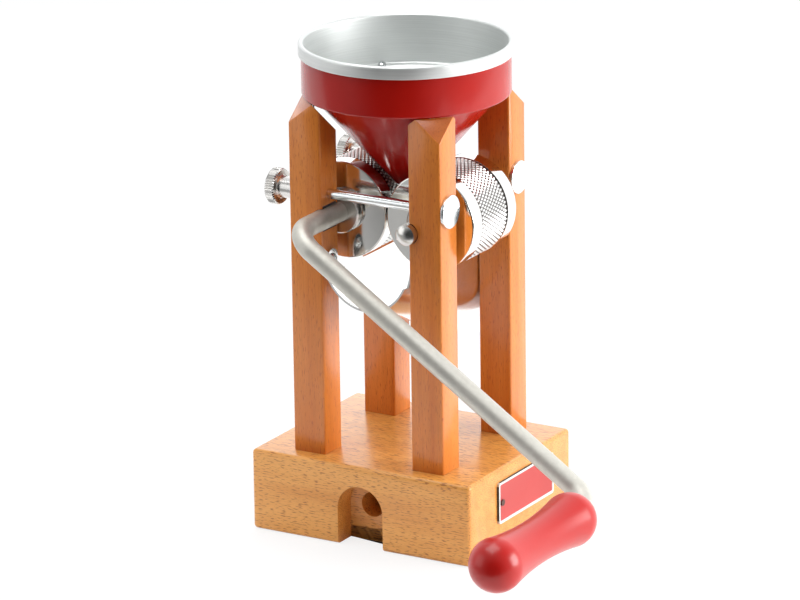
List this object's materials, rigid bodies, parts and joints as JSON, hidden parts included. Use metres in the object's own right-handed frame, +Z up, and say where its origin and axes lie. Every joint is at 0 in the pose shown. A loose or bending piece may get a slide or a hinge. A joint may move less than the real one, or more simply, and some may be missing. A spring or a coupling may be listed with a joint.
{
  "type": "grain flaker",
  "caption": "Hand-cranked table grain flaker: a round hopper on square wooden posts feeds two knurled rollers, and a sloping trough leads the flakes out behind a slotted base.",
  "frame": {"origin": "on the bench, at the underside of the base, under the centre of the base block", "axes": "+Z up; the crank and the clamp slot are in front, towards -Y; the bare plate is on the right, towards +X; the rollers turn about lines along Y"},
  "size_m": [0.2537, 0.274, 0.2901],
  "materials": {
    "beech_base": "oiled beech, light",
    "beech_post": "oiled beech, darker",
    "red_hopper": "glossy red paint outside, bare aluminium inside and on the lip",
    "red_grip": "glossy",
    "red_plate": "red field in a bare metal border",
    "polished_steel": "mirror polished stainless steel",
    "turned_steel": "turned, satin",
    "zinc_steel": "bright zinc plated",
    "liner_plastic": "dark bearing plastic"
  },
  "bodies": {
    "frame": {"base_block": "beech_base", "post_front_left": "beech_post", "post_front_right": "beech_post", "post_rear_left": "beech_post", "post_rear_right": "beech_post", "post_screws": "zinc_steel", "hopper": "red_hopper", "hopper_screws": "zinc_steel", "liner_front_left": "liner_plastic", "liner_front_right": "liner_plastic", "liner_rear_left": "liner_plastic", "liner_rear_right": "liner_plastic", "tie_bolt_front": "zinc_steel", "tie_bolt_rear": "zinc_steel", "knob_washers": "zinc_steel", "flake_chute": "polished_steel", "chute_screws": "zinc_steel", "side_plate": "red_plate", "side_plate_pins": "zinc_steel"},
    "drive": {"crank_rod": "turned_steel", "drive_roller": "polished_steel", "drive_collar_front": "turned_steel", "drive_collar_rear": "turned_steel", "drive_collar_pins": "turned_steel"},
    "idle": {"idle_axle": "turned_steel", "idle_roller": "polished_steel", "idle_collar_front": "turned_steel", "idle_collar_rear": "turned_steel", "idle_collar_pins": "turned_steel"},
    "grip": {"crank_grip": "red_grip"},
    "front_knob": {"thumb_knob_front": "turned_steel"},
    "rear_knob": {"thumb_knob_rear": "turned_steel"}
  },
  "joints": [
    {"name": "crank_turn", "type": "hinge", "parent": "frame", "child": "drive", "pos_m": [-0.029, 0, 0.1911], "axis": [0, 1, 0], "continuous": true},
    {"name": "idle_roller_turn", "type": "hinge", "parent": "frame", "child": "idle", "pos_m": [0.029, 0, 0.1911], "axis": [0, 1, 0], "continuous": true},
    {"name": "grip_spin", "type": "hinge", "parent": "drive", "child": "grip", "pos_m": [0.16522, -0.15, 0.06059], "axis": [0, -1, 0], "continuous": true},
    {"name": "front_knob_turn", "type": "hinge", "parent": "frame", "child": "front_knob", "pos_m": [-0.0605, -0.04, 0.2047], "axis": [1, 0, 0], "range_deg": [-720, 90]},
    {"name": "rear_knob_turn", "type": "hinge", "parent": "frame", "child": "rear_knob", "pos_m": [-0.0605, 0.04, 0.2047], "axis": [1, 0, 0], "range_deg": [-720, 90]}
  ],
  "couplings": [
    {"joint": "idle_roller_turn", "follows": "crank_turn", "ratio": -1}
  ]
}
